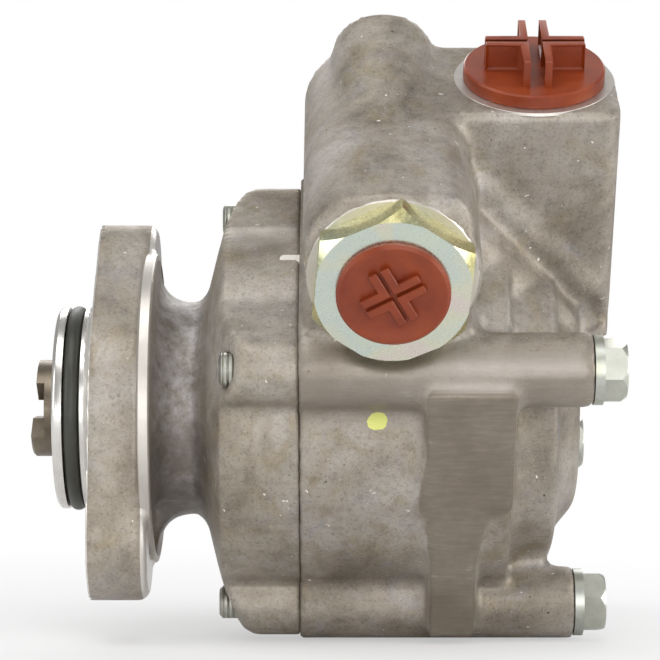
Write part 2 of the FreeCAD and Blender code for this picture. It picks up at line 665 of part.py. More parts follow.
def round_ring(x, ring_r, r):
    """A ring of round section about the shaft axis, drawn with eight flats."""
    points = []
    for i in range(8):
        a = math.radians(22.5 + 45.0 * i)
        points.append((x + r * math.cos(a), ring_r + r * math.sin(a)))
    return revolved(points)


# Flow control valve and pressure adapter, in the turned frame
def adapter():
    y_in = COLLAR_FRONT_Y + ADAPTER_SHANK
    y_out = COLLAR_FRONT_Y - HEX_H
    shank = valve_rod(COLLAR_FRONT_Y, y_in, ADAPTER_R).fuse(
        valve_rod(y_in - 1, y_in + NOSE_LEN, NOSE_R))
    blank = hexagon(HEX_AF, 0, HEX_H, 0, 0, 90 - HEX_TURN)
    crown = Part.makeCone(HEX_AF / 2 + 6.0, HEX_AF / 2 + 0.4, HEX_H, V(0, 0, 0), V(1, 0, 0))
    blank = blank.common(crown)
    blank = turn(blank, -90, (0, 0, 0), (0, 0, 1))
    blank.translate(V(VALVE_X, COLLAR_FRONT_Y, VALVE_Z))
    body = fuse(shank, blank)
    body = body.cut(valve_rod(y_out - 1, y_out + PRESS_THREAD_LEN, PRESS_THREAD_R))
    body = body.cut(valve_rod(y_out - 1, y_out + PRESS_PLUG_SHANK + PORT_RELIEF_EXTRA,
                              PRESS_THREAD_R + PORT_RELIEF))
    hole_y = y_in + NOSE_LEN / 2
    body = body.cut(valve_rod(y_out, hole_y, ORIFICE_R))
    body = body.cut(rod((VALVE_X - 9, hole_y, VALVE_Z), (VALVE_X + 9, hole_y, VALVE_Z), 1.4))
    neck = valve_rod(COLLAR_FRONT_Y + 0.6, COLLAR_FRONT_Y + 3.0, ADAPTER_R + 1).cut(
        valve_rod(COLLAR_FRONT_Y, COLLAR_FRONT_Y + 4.0, ADAPTER_R - 1.7))
    return body.cut(neck)


def adapter_ring():
    y = COLLAR_FRONT_Y + 1.8
    ring = turn(round_ring(0, ADAPTER_R - 0.82, 0.8), 90, (0, 0, 0), (0, 0, 1))
    ring.translate(V(VALVE_X, y, VALVE_Z))
    return ring


def spool():
    y0, y1 = SPOOL_Y0, SPOOL_Y0 + SPOOL_LEN
    body = valve_rod(y0, y1, VALVE_R)
    for a, b, r in ((14.0, 17.5, 6.2), (24.0, 27.0, 6.2)):
        body = body.cut(valve_rod(y0 + a, y0 + b, VALVE_R + 1).cut(
            valve_rod(y0 + a - 1, y0 + b + 1, r)))
    seat = y1 - RELIEF_DEPTH
    body = body.cut(valve_rod(seat, y1 + 1, RELIEF_R + CLR_RUN))
    body = body.cut(valve_rod(seat - 4.0, seat + 1, 1.3))
    body = body.cut(rod((VALVE_X - 9, seat - 2.0, VALVE_Z), (VALVE_X + 9, seat - 2.0, VALVE_Z), 0.8))
    return body


def relief_poppet():
    seat = SPOOL_Y0 + SPOOL_LEN - RELIEF_DEPTH
    return valve_rod(seat + 0.02, seat + 5.0, RELIEF_R)


def relief_retainer():
    """Pierced plug that closes the spool over the relief spring."""
    end = SPOOL_Y0 + SPOOL_LEN
    return valve_rod(end - 2.0, end, RELIEF_R).cut(valve_rod(end - 3, end + 1, 0.9))


def relief_spring():
    seat = SPOOL_Y0 + SPOOL_LEN - RELIEF_DEPTH
    return coil(seat + 5.2, SPOOL_Y0 + SPOOL_LEN - 2.2, VALVE_X, VALVE_Z, 2.2, 0.8, 4)


def spool_spring():
    return coil(SPOOL_Y0 + SPOOL_LEN + 0.2, VALVE_END_Y - 0.2, VALVE_X, VALVE_Z, 6.0, 1.6, 5)


# Shipping plugs
def pressure_plug():
    y = COLLAR_FRONT_Y - HEX_H
    body = fuse(valve_rod(y - PRESS_PLUG_T, y, PRESS_PLUG_R),
                valve_rod(y, y + PRESS_PLUG_SHANK, PRESS_THREAD_R + PORT_RELIEF - CLR_THREAD))
    body = body.cut(valve_rod(y - PRESS_PLUG_T + 1.0, y + PRESS_PLUG_SHANK + 1,
                              PRESS_THREAD_R - PLUG_WALL))
    floor_y = y + PRESS_PLUG_SHANK
    body = fuse(body, valve_rod(floor_y - PLUG_WALL, floor_y, PRESS_THREAD_R - PLUG_WALL))
    for a in (0, 90):
        bar = box(-7.4, 7.4, y - PRESS_PLUG_T, floor_y - 0.5, -1.9, 1.9)
        bar = bar.cut(box(-7.0, 7.0, y - PRESS_PLUG_T - 1, floor_y - 2, -0.6, 0.6))
        bar = turn(bar, a + PRESS_SLOT_TURN, (0, 0, 0), (0, 1, 0))
        bar.translate(V(VALVE_X, 0, VALVE_Z))
        body = body.fuse(bar.common(valve_rod(y - PRESS_PLUG_T, floor_y, PRESS_THREAD_R - 0.6)))
    for a in (0, 90):
        slit = box(-7.0, 7.0, y - PRESS_PLUG_T - 1, floor_y - 2, -0.6, 0.6)
        slit = turn(slit, a + PRESS_SLOT_TURN, (0, 0, 0), (0, 1, 0))
        slit.translate(V(VALVE_X, 0, VALVE_Z))
        body = body.cut(slit)
    return body


def suction_plug():
    z = BLOCK_TOP
    body = rod((0, 0, z), (0, 0, z + SUCTION_PLUG_T), SUCTION_PLUG_R)
    shank = rod((0, 0, z - SUCTION_PLUG_SHANK), (0, 0, z + 1),
                SUCTION_THREAD_R + PORT_RELIEF - CLR_THREAD)
    shank = shank.cut(rod((0, 0, z - SUCTION_PLUG_SHANK - 1), (0, 0, z + 1),
                          SUCTION_THREAD_R - PLUG_WALL - 0.4))
    body = body.fuse(shank)
    lo, hi = GRIP_GAP / 2, GRIP_GAP / 2 + GRIP_WALL
    top = z + SUCTION_PLUG_T + SUCTION_GRIP_H
    for a in (0, 90, 180, 270):
        for side in (1, -1):
            wall = box(lo, SUCTION_GRIP_L, min(side * lo, side * hi), max(side * lo, side * hi),
                       z + 1, top)
            body = body.fuse(turn(wall, a, (0, 0, 0), (0, 0, 1)))
    for a in (0, 90):
        slit = box(-SUCTION_GRIP_L, SUCTION_GRIP_L, -lo, lo, z + SUCTION_PLUG_T - 1.2, top + 1)
        body = body.cut(turn(slit, a, (0, 0, 0), (0, 0, 1)))
    body = body.removeSplitter()
    body.translate(V(SUCTION_X, SUCTION_Y, 0))
    return body


os.makedirs("parts", exist_ok=True)

save("front_cover", front_cover())
save("main_housing", main_housing())
for n, angle in enumerate(BOLT_ANGLES, 1):
    save("tie_bolt_%d" % n, tie_bolt(angle))
    save("bolt_washer_%d" % n, washer(angle))
save("pilot_ring", round_ring(RING_X, PILOT_R - RING_SECTION / 2 - CLR_SEAT,
                              RING_SECTION / 2))
save("joint_ring", round_ring(JOINT_X + JOINT_RING_SECTION / 2, JOINT_RING_R,
                              JOINT_RING_SECTION / 2 - 0.02))
save("shaft_seal", shaft_seal())
save("bearing_clip", split_ring(BRG_X - CIRCLIP_T - 0.05, BRG_R + CIRCLIP_GROOVE - 0.1,
                                BRG_R - 2.4, 12.0))
save("bearing_outer_ring", bearing_ring(False))
save("bearing_inner_ring", bearing_ring(True))
save("bearing_balls", bearing_balls())
save("bearing_cage", bearing_cage())
save("shaft_clip", split_ring(BRG_END_X + 0.1, BRG_BORE_R + 1.6,
                              BRG_BORE_R - CIRCLIP_GROOVE + 0.05, 8.0))
save("drive_shaft", shaft())
save("front_bush", tube(JOINT_X - FRONT_BUSH_LEN + 0.2, JOINT_X - 0.2,
                        SHAFT_MID_R + CLR_RUN + BUSH_WALL, SHAFT_MID_R + CLR_RUN))
save("rear_bush", tube(BORE_END_X + 0.2, BORE_END_X + REAR_BUSH_LEN,
                       SHAFT_TAIL_R + CLR_RUN + BUSH_WALL, SHAFT_TAIL_R + CLR_RUN))
save("rotor", rotor())
for n in range(VANE_COUNT):
    save("vane_%02d" % (n + 1), vane(n))
save("cam_ring", cam_ring())
save("front_plate", side_plate(PLATE1_X, SHAFT_MID_R + 0.5, (45, 225)))
save("rear_plate", side_plate(PLATE2_X, SHAFT_TAIL_R + 0.5, (135, 315)))
save("dowel_pin_1", dowel(0))
save("dowel_pin_2", dowel(180))
save("plate_spring", plate_spring())
save("pressure_adapter", tilted(adapter()))
save("adapter_ring", tilted(adapter_ring()))
save("valve_spool", tilted(spool()))
save("spool_spring", tilted(spool_spring()))
save("relief_poppet", tilted(relief_poppet()))
save("relief_retainer", tilted(relief_retainer()))
save("relief_spring", tilted(relief_spring()))
save("pressure_plug", tilted(pressure_plug()))
save("suction_plug", tilted(suction_plug()))
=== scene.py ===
# %% [markdown]
# # A power steering pump, dressed for its portrait
# The pump is a vane pump with cast aluminium housings, turned steel parts and two
# plastic shipping plugs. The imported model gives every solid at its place, in metres:
# +X runs from the drive claw to the rear, +Y away from the viewer, +Z up.
# This lesson keeps the machined pieces as they are, gives the castings the soft edges
# that a mould leaves, and then spends its time on surfaces.

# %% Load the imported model
import math

import bmesh
import bpy
from mathutils import Matrix, Vector


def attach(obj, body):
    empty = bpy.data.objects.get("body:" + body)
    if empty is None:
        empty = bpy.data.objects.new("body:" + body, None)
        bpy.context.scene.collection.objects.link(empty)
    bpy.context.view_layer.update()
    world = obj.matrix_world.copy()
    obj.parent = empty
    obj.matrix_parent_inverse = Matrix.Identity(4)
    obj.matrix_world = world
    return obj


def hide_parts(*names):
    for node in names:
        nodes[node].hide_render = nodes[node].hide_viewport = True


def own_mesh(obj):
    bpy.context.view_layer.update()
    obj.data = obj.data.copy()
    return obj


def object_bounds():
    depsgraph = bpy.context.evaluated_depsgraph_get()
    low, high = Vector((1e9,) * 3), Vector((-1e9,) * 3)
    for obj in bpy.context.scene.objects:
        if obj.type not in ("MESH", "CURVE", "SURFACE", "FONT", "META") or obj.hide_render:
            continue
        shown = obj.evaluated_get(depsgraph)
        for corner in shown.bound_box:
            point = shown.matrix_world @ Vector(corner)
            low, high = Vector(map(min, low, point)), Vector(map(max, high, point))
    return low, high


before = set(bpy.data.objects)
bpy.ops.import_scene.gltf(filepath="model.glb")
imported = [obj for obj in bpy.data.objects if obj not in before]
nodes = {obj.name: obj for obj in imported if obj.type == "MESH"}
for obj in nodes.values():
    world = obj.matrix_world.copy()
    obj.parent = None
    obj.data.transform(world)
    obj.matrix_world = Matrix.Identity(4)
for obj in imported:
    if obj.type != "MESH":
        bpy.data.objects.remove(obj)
cad_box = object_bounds()
print("nodes", len(nodes), "box", cad_box)

# %% [markdown]
# Sizes are written in millimetres, as on a drawing, and turned to metres by one factor.
# The housing stands turned by 31 degrees about the shaft, so a helper brings a point
# or a direction from the upright drawing of the housing to its real place.

# %% Units and the turned frame of the housing
MM = 0.001
TURN = math.radians(31.0)
TILT = Matrix.Rotation(TURN, 4, "X")
VALVE_X, VALVE_Z, COLLAR_Y, HEX_H = 72.5, 59.0, -37.0, 7.2
SUCTION_X, SUCTION_Y, BLOCK_TOP = 107.7, 24.9, 79.0
JOINT_X, FLANGE_T, PAD_Y = 51.0, 14.5, -46.3
EAR_PCD_R, EAR_LEAN = 34.8, 62.0


def turned(x, y, z):
    """A point of the upright housing drawing, in millimetres, at its real place in metres."""
    return TILT @ (Vector((x, y, z)) * MM)


def towards(x, y, z):
    """A direction of the upright housing drawing at its real turn."""
    return (TILT.to_3x3() @ Vector((x, y, z))).normalized()


PORT_OUT = towards(0, -1, 0)
# the direction whose facing surfaces get the housing's painted highlight
HIGHLIGHT_FROM = tuple(TILT @ Vector((-0.62, -0.62, 0.48)))
THREAD_PITCH = 0.00125
PAINT_DOT, PAINT_DOT_R = (0.0693, -0.0452, -0.0017), 0.0031
SUCTION_OUT = towards(0, 0, 1)
print("pressure port points", PORT_OUT, "suction port points", SUCTION_OUT)

# %% [markdown]
# A finish is a node tree. One function adds a node with its settings and links,
# and one turns the hex colours that a picture editor shows into linear light.

# %% Helpers for finishes


def linear(hexa):
    """An sRGB hex colour as linear red, green, blue and 1."""
    parts = [int(hexa[i:i + 2], 16) / 255 for i in (1, 3, 5)]
    return [c / 12.92 if c < 0.04045 else ((c + 0.055) / 1.055) ** 2.4 for c in parts] + [1.0]


def add(tree, kind, settings=None, **links):
    """A node of that kind. Plain values set sockets, and sockets are linked."""
    node = tree.nodes.new("ShaderNode" + kind)
    for key, value in (settings or {}).items():
        setattr(node, key, value)
    for key, value in links.items():
        name = key.replace("_", " ")
        sockets = [s for s in node.inputs if s.name == name or s.identifier == key]
        socket = sockets[0] if sockets else node.inputs[int(key[1:])]
        if isinstance(value, bpy.types.NodeSocket):
            tree.links.new(value, socket)
        else:
            socket.default_value = value
    return node


def ramp(tree, fac, stops):
    """A colour ramp; each stop is a place and a hex colour or a grey."""
    node = add(tree, "ValToRGB", Fac=fac)
    elements = node.color_ramp.elements
    while len(elements) < len(stops):
        elements.new(0.5)
    for element, (place, colour) in zip(elements, stops):
        element.position = place
        element.color = linear(colour) if isinstance(colour, str) else [colour] * 3 + [1.0]
    return node.outputs["Color"]


def finish(name):
    """A new material and the parts every finish needs."""
    material = bpy.data.materials.new(name)
    material.use_nodes = True
    tree = material.node_tree
    shader = tree.nodes["Principled BSDF"]
    place = add(tree, "TexCoord").outputs["Object"]
    return material, tree, shader, place


def noise(tree, place, size_mm, detail=3.0, rough=0.5, distortion=0.0):
    """Noise whose lumps are about size_mm across."""
    return add(tree, "TexNoise", Vector=place, Scale=1000.0 / size_mm, Detail=detail,
               Roughness=rough, Distortion=distortion).outputs["Fac"]


def mix(tree, fac, a, b, kind="MIX"):
    """Two colours or sockets mixed by a share or a mask."""
    node = add(tree, "Mix", {"data_type": "RGBA", "blend_type": kind})
    for socket, value in zip((node.inputs[0], node.inputs[6], node.inputs[7]), (fac, a, b)):
        if isinstance(value, bpy.types.NodeSocket):
            tree.links.new(value, socket)
        else:
            socket.default_value = linear(value) if isinstance(value, str) else value
    return node.outputs[2]


def math_node(tree, operation, a, b):
    """One sum of two numbers or sockets."""
    node = add(tree, "Math", {"operation": operation})
    for socket, value in zip(node.inputs, (a, b)):
        if isinstance(value, bpy.types.NodeSocket):
            tree.links.new(value, socket)
        else:
            socket.default_value = value
    return node.outputs[0]


def times(tree, a, b):
    """One mask or number times another."""
    return math_node(tree, "MULTIPLY", a, b)


def fit(tree, value, low, high, low_out=0.0, high_out=1.0):
    """A value brought from one range to another and held inside it."""
    return add(tree, "MapRange", Value=value, From_Min=low, From_Max=high, To_Min=low_out,
               To_Max=high_out).outputs[0]


def facing(tree, direction):
    """How far a surface faces a direction: 1 straight on, 0 edge on."""
    normal = tree.nodes["Texture Coordinate"].outputs["Normal"]
    return add(tree, "VectorMath", {"operation": "DOT_PRODUCT"}, Vector=normal,
               Vector_001=direction).outputs["Value"]


def grey(level):
    """A grey as red, green, blue and 1."""
    return (level, level, level, 1.0)


def bump(tree, shader, height, depth_mm, strength=1.0, under=None):
    """Relief of a height, on top of the relief in under."""
    node = add(tree, "Bump", Height=height, Distance=depth_mm * MM, Strength=strength)
    if under is not None:
        tree.links.new(under, node.inputs["Normal"])
    tree.links.new(node.outputs["Normal"], shader.inputs["Normal"])
    return node.outputs["Normal"]


# %% [markdown]
# ## Cast aluminium, blasted
# The housings are cast in aluminium and shot-blasted, which leaves a fine dull grain of
# about half a millimetre. Handling adds warm stains, the mould leaves broad cloudy
# patches, and here and there lie pits and bright nicks. A metal with a high roughness
# and a warm grey colour starts it; clouds, grain, pits and nicks are noise at four sizes.

# %% Cast aluminium


def cast_aluminium(name, light, dark, stain, pits):
    """Blasted casting: its material, tree, shader, place, and sockets of colour and roughness."""
    material, tree, shader, place = finish(name)
    clouds = noise(tree, place, 30.0, 5.0, 0.62, 0.5)
    grain = noise(tree, place, 0.75, 2.0, 0.8)
    mottle = noise(tree, place, 3.6, 4.0, 0.7)
    base = ramp(tree, clouds, [(0.34, dark), (0.47, light), (0.62, "#b5aea6")])
    stains = ramp(tree, noise(tree, place, 17.0, 5.0, 0.72, 1.2), [(0.54, 0.0), (0.70, 0.6)])
    base = mix(tree, stains, base, stain)
    elsewhere = add(tree, "Mapping", Vector=place, Location=(3.0, 1.0, 2.0)).outputs[0]
    cool = ramp(tree, noise(tree, elsewhere, 12.0, 4.0, 0.7, 0.8), [(0.56, 0.0), (0.72, 0.55)])
    base = mix(tree, cool, base, "#a19da1")
    speck = ramp(tree, grain, [(0.32, "#6f685f"), (0.47, "#ffffff"), (0.68, "#ffffff")])
    base = mix(tree, 0.34, base, speck, "MULTIPLY")
    spots = ramp(tree, mottle, [(0.36, 0.62), (0.56, 1.0)])
    base = mix(tree, 0.5, base, spots, "MULTIPLY")
    glint = ramp(tree, noise(tree, place, 0.5, 1.0, 0.5), [(0.68, 0.0), (0.76, 0.28)])
    base = mix(tree, glint, base, "#d8d3cc")
    # a few pits with painted shade inside them, and bright nicks drawn out by knocks
    pit = add(tree, "TexVoronoi", Vector=place, Scale=1000.0 / 5.0, Randomness=1.0).outputs["Distance"]
    pit = ramp(tree, pit, [(0.035, 0.0), (0.075, 1.0)])
    rare = ramp(tree, noise(tree, place, 17.0, 1.0), [(0.56, 0.0), (0.60, pits)])
    pit_painted_shade = math_node(tree, "MULTIPLY", rare, math_node(tree, "SUBTRACT", 1.0, pit))
    base = mix(tree, pit_painted_shade, base, "#4b443b")
    drawn = add(tree, "Mapping", Vector=place, Scale=(1.0, 2.2, 0.5),
                Rotation=(0.5, 0.4, 0.3)).outputs[0]
    nick = ramp(tree, noise(tree, drawn, 2.6, 2.0, 0.5), [(0.735, 0.0), (0.75, 1.0)])
    base = mix(tree, nick, base, "#e6e0da")
    rough = fit(tree, mottle, 0.3, 0.7, 0.44, 0.62)
    height = math_node(tree, "ADD", grain, math_node(tree, "MULTIPLY", mottle, 1.6))
    under = bump(tree, shader, height, 0.06)
    wave = bump(tree, shader, noise(tree, place, 13.0, 3.0, 0.55), 0.35, 0.35, under)
    bump(tree, shader, pit, 0.25 * pits, 0.5, wave)
    shader.inputs["Metallic"].default_value = 0.62
    return material, tree, shader, place, base, rough


def inside(tree, value, low_mm, high_mm, soft_mm=0.08):
    """1 where a length in metres lies between two millimetre marks."""
    up = fit(tree, value, (low_mm - soft_mm) * MM, (low_mm + soft_mm) * MM)
    down = fit(tree, value, (high_mm - soft_mm) * MM, (high_mm + soft_mm) * MM)
    return math_node(tree, "SUBTRACT", up, down)


def shaft_radius(tree, split):
    """The distance from the shaft axis, in metres."""
    flat = add(tree, "CombineXYZ", X=split.outputs["Y"], Y=split.outputs["Z"])
    return add(tree, "VectorMath", {"operation": "LENGTH"}, Vector=flat.outputs[0]).outputs["Value"]


def cover_finish():
    """The cover: cast, with a bare neck that is darker and smoother towards the bottom, and bright
    turned faces.
    """
    parts = cast_aluminium("blasted_aluminium_cover", "#a49b8e", "#897f72", "#938465", 0.5)
    material, tree, shader, place, base, rough = parts
    split = add(tree, "SeparateXYZ", Vector=place)
    radius = shaft_radius(tree, split)
    hollow = times(tree, inside(tree, split.outputs["X"], 15.8, 27.0, 1.5),
                   inside(tree, radius, 0.0, 35.5, 2.5))
    blot = noise(tree, place, 3.4, 5.0, 0.72)
    metal = ramp(tree, blot, [(0.36, "#77716b"), (0.50, "#96928f"), (0.64, "#aeabae")])
    base = mix(tree, times(tree, hollow, 0.8), base, metal)
    bump(tree, shader, times(tree, blot, hollow), 0.35, 0.5,
         shader.inputs["Normal"].links[0].from_socket)
    # the lower part of the neck is made darker and smoother
    darker_below = times(tree, hollow, inside(tree, split.outputs["Z"], -60.0, -4.0, 6.0))
    darker_below = times(tree, darker_below, fit(tree, noise(tree, place, 6.0, 4.0, 0.7), 0.30, 0.62, 1.0, 0.35))
    base = mix(tree, darker_below, base, "#787069")
    rough = mix(tree, darker_below, rough, grey(0.34))
    back_land = times(tree, inside(tree, split.outputs["X"], FLANGE_T - 1.5, FLANGE_T + 1.15),
                      inside(tree, radius, 37.0, 60.0))
    bright = math_node(tree, "MAXIMUM", back_land, inside(tree, split.outputs["X"], -20.0, 0.35))
    tree.links.new(mix(tree, bright, base, "#dedad4"), shader.inputs["Base Color"])
    tree.links.new(mix(tree, bright, rough, grey(0.3)), shader.inputs["Roughness"])
    return material


def housing_finish():
    """The housing: cast, with a sawn pad, a grazed boss, a painted highlight and a smoother finish on
    the faces turned towards the front left, and a dot of paint.
    """
    parts = cast_aluminium("blasted_aluminium_housing", "#a39a8e", "#877e72", "#928363", 1.0)
    material, tree, shader, place, base, rough = parts
    upright = add(tree, "Mapping", Vector=place, Rotation=(-TURN, 0.0, 0.0)).outputs[0]
    split = add(tree, "SeparateXYZ", Vector=upright)
    # strokes of the saw run along the shaft
    strokes = add(tree, "Mapping", Vector=place, Scale=(0.10, 1.0, 1.0)).outputs[0]
    saw = times(tree, noise(tree, strokes, 0.8, 3.0, 0.75), 0.42)
    shade = times(tree, noise(tree, place, 14.0, 3.0, 0.6), 0.58)
    sawn = ramp(tree, math_node(tree, "ADD", saw, shade),
                [(0.34, "#796f63"), (0.50, "#857b6f"), (0.62, "#8f867a"), (0.72, "#b5aea4")])
    grazed = times(tree, inside(tree, split.outputs["Y"], -70.0, -38.5, 2.0),
                   inside(tree, split.outputs["Z"], 22.0, 60.0, 3.0))
    base = mix(tree, times(tree, grazed, 0.75), base, mix(tree, 0.8, "#b3aca4", sawn))
    from_dot = add(tree, "VectorMath", {"operation": "DISTANCE"}, Vector=place,
                   Vector_001=PAINT_DOT).outputs["Value"]
    ragged = times(tree, noise(tree, place, 2.6, 2.0, 0.6), 1.6 * MM)
    dot = math_node(tree, "LESS_THAN", math_node(tree, "ADD", from_dot, ragged), PAINT_DOT_R)
    base = mix(tree, dot, base, "#d3d57e")
    # a painted highlight: faces turned towards the front left, between these marks, get a lighter colour
    # and a smoother finish
    painted_highlight = times(tree, inside(tree, split.outputs["X"], 84.0, 124.0, 4.0),
                  fit(tree, facing(tree, HIGHLIGHT_FROM), 0.72, 0.99))
    painted_highlight = times(tree, times(tree, painted_highlight, inside(tree, split.outputs["Z"], 26.0, 72.0, 3.0)), 0.8)
    base = mix(tree, painted_highlight, base, "#dcd5d3")
    pad = inside(tree, split.outputs["Y"], -70.0, PAD_Y + 0.75, 0.15)
    tree.links.new(mix(tree, pad, base, sawn), shader.inputs["Base Color"])
    tree.links.new(mix(tree, painted_highlight, rough, grey(0.42)), shader.inputs["Roughness"])
    return material


def machined(name, colour, rough=0.26):
    """Turned or milled metal: fine rings about the shaft axis."""
    material, tree, shader, place = finish(name)
    split = add(tree, "SeparateXYZ", Vector=place)
    line = add(tree, "CombineXYZ", X=shaft_radius(tree, split), Y=split.outputs["X"])
    rings = noise(tree, line.outputs[0], 0.5, 2.0)
    tint = ramp(tree, noise(tree, place, 7.0, 3.0, 0.6), [(0.3, 0.80), (0.65, 1.0)])
    tree.links.new(mix(tree, 0.7, colour, tint, "MULTIPLY"), shader.inputs["Base Color"])
    shader.inputs["Metallic"].default_value = 1.0
    tree.links.new(fit(tree, rings, 0.3, 0.7, rough - 0.06, rough + 0.08), shader.inputs["Roughness"])
    bump(tree, shader, rings, 0.012)
    return material


cast_cover = cover_finish()
cast_housing = housing_finish()
turned_alu = machined("turned_aluminium", "#e2dfda")
milled_alu = machined("milled_aluminium", "#d6d1ca", 0.46)
print("castings", cast_cover.name, cast_housing.name)

# %% [markdown]
# ## Zinc, yellow chromate, browned steel, rubber and moulded plastic
# The bolts and washers have a silvery zinc coat with a faint green. The adapter's zinc
# is yellow-passivated: a thin film that shifts from gold to pale blue-green and pink with
# its thickness, so its hue follows broad noise. The claw is oiled brown steel. The plugs
# are moulded in red-brown polythene with a soft sheen.

# %% Plated and moulded finishes


def plated(name, stops, rough, size=9.0, depth=0.01):
    """Plated or plain steel: a film whose colour drifts, with a little dust."""
    material, tree, shader, place = finish(name)
    colour = ramp(tree, noise(tree, place, size, 2.0, 0.5, 0.4), stops)
    dust = noise(tree, place, 1.1, 2.0, 0.6)
    colour = mix(tree, 0.25, colour, ramp(tree, dust, [(0.3, 0.7), (0.6, 1.0)]), "MULTIPLY")
    tree.links.new(colour, shader.inputs["Base Color"])
    shader.inputs["Metallic"].default_value = 1.0
    tree.links.new(fit(tree, dust, 0.3, 0.7, rough - 0.05, rough + 0.07), shader.inputs["Roughness"])
    bump(tree, shader, dust, depth)
    return material


zinc = plated("zinc_plate", [(0.3, "#b9bbb0"), (0.5, "#c3c5be"), (0.7, "#bfc2aa")], 0.38)
threads = plated("zinc_plated_thread", [(0.3, "#b9bab0"), (0.7, "#cfd0c6")], 0.36)
tree = threads.node_tree
place = tree.nodes["Texture Coordinate"].outputs["Object"]
along = add(tree, "SeparateXYZ", Vector=place).outputs["X"]
turns = times(tree, math_node(tree, "PINGPONG", along, THREAD_PITCH / 2), 2 / THREAD_PITCH)
groove = times(tree, turns, inside(tree, along, 0.0, 46.0))
bump(tree, tree.nodes["Principled BSDF"], groove, 0.40, 0.8)

yellow_zinc = plated("yellow_chromate", [(0.30, "#d9cf8a"), (0.45, "#e2dfae"), (0.60, "#cfd6b4"),
                                         (0.72, "#e6cdb8")], 0.24, 14.0, 0.003)
tree = yellow_zinc.node_tree
place = tree.nodes["Texture Coordinate"].outputs["Object"]
pale = ramp(tree, noise(tree, place, 11.0, 1.0, 0.4, 0.3),
            [(0.34, "#d6e0d0"), (0.48, "#d3ddd4"), (0.58, "#dedfca"), (0.70, "#e2d8d0")])
colour = tree.nodes["Principled BSDF"].inputs["Base Color"]
gold = colour.links[0].from_socket
tree.links.new(mix(tree, fit(tree, facing(tree, PORT_OUT), 0.90, 0.97), gold, pale), colour)

brown_steel = plated("browned_steel", [(0.3, "#6a6054"), (0.7, "#867c6e")], 0.40, 6.0)
ground_steel = machined("ground_steel", "#c9c9ca")
spring_steel = plated("oiled_spring_steel", [(0.3, "#55555a"), (0.7, "#77777a")], 0.35)
sintered = plated("sintered_steel", [(0.3, "#77746f"), (0.7, "#8f8c86")], 0.45, 3.0)
bronze = plated("bearing_bronze", [(0.3, "#a5814e"), (0.7, "#b8935c")], 0.35, 4.0)


def moulded(name, colour, deep, rough=0.33):
    """Moulded plastic or rubber: a soft sheen, with flow marks and fine scuffs."""
    material, tree, shader, place = finish(name)
    flow = noise(tree, place, 9.0, 3.0, 0.6)
    base = ramp(tree, flow, [(0.3, deep), (0.65, colour)])
    scuff = noise(tree, place, 0.8, 2.0, 0.7)
    base = mix(tree, 0.10, base, ramp(tree, scuff, [(0.35, 0.6), (0.6, 1.0)]), "MULTIPLY")
    tree.links.new(base, shader.inputs["Base Color"])
    shader.inputs["IOR"].default_value = 1.5
    tree.links.new(fit(tree, flow, 0.3, 0.7, rough - 0.05, rough + 0.10), shader.inputs["Roughness"])
    bump(tree, shader, scuff, 0.02)
    return material


plug_red = moulded("red_brown_polythene", "#8e3b12", "#76290b")
rubber = moulded("seal_rubber", "#3d3d36", "#2a2b26", 0.42)
cage_plastic = moulded("cage_polyamide", "#cbbf95", "#b5a87f", 0.4)
print("finishes", len(bpy.data.materials))

# %% [markdown]
# ## Turned faces and moulded plugs
# Small pieces are drawn in a seat of their own: x to the right, y up and z out of the
# surface, in millimetres. A profile is spun about z, an outline is pushed up along z, and
# a matrix sets the result in its seat.

# %% Helpers for pieces


def seat(x, y, z, right, up):
    """The matrix of a seat at a point of the upright housing drawing."""
    right, up = towards(*right), towards(*up)
    turn = Matrix((right, up, right.cross(up))).transposed().to_4x4()
    return Matrix.Translation(turned(x, y, z)) @ turn @ Matrix.Scale(MM, 4)


SHARP_FROM = math.radians(35.0)
SHAFT_SEAT = Matrix(((0, 0, 1, 0), (1, 0, 0, 0), (0, 1, 0, 0), (0, 0, 0, 1))) @ Matrix.Scale(MM, 4)
PRESSURE_SEAT = seat(VALVE_X, COLLAR_Y - HEX_H, VALVE_Z, (1, 0, 0), (0, 0, 1))
COLLAR_SEAT = seat(VALVE_X, COLLAR_Y, VALVE_Z, (1, 0, 0), (0, 0, 1))
SUCTION_SEAT = seat(SUCTION_X, SUCTION_Y, BLOCK_TOP, (1, 0, 0), (0, 1, 0))


def spun(bm, profile, steps=96, closed=False):
    """Spins a profile of (r, z) about z."""
    verts = [bm.verts.new((r, 0, z)) for r, z in profile]
    pairs = list(zip(verts, verts[1:] + (verts[:1] if closed else [])))
    edges = [bm.edges.new(pair) for pair in (pairs if closed else pairs[:len(verts) - 1])]
    bmesh.ops.spin(bm, geom=verts + edges, cent=(0, 0, 0), axis=(0, 0, 1),
                   angle=math.tau, steps=steps, use_merge=True)
    bmesh.ops.remove_doubles(bm, verts=bm.verts, dist=0.0005)


def pushed(bm, outline, z0, z1):
    """An outline of (x, y) pushed from z0 to z1, as a closed prism."""
    low = [bm.verts.new((x, y, z0)) for x, y in outline]
    high = [bm.verts.new((x, y, z1)) for x, y in outline]
    bm.faces.new(low[::-1])
    bm.faces.new(high)
    for i in range(len(outline)):
        j = (i + 1) % len(outline)
        bm.faces.new((low[i], low[j], high[j], high[i]))


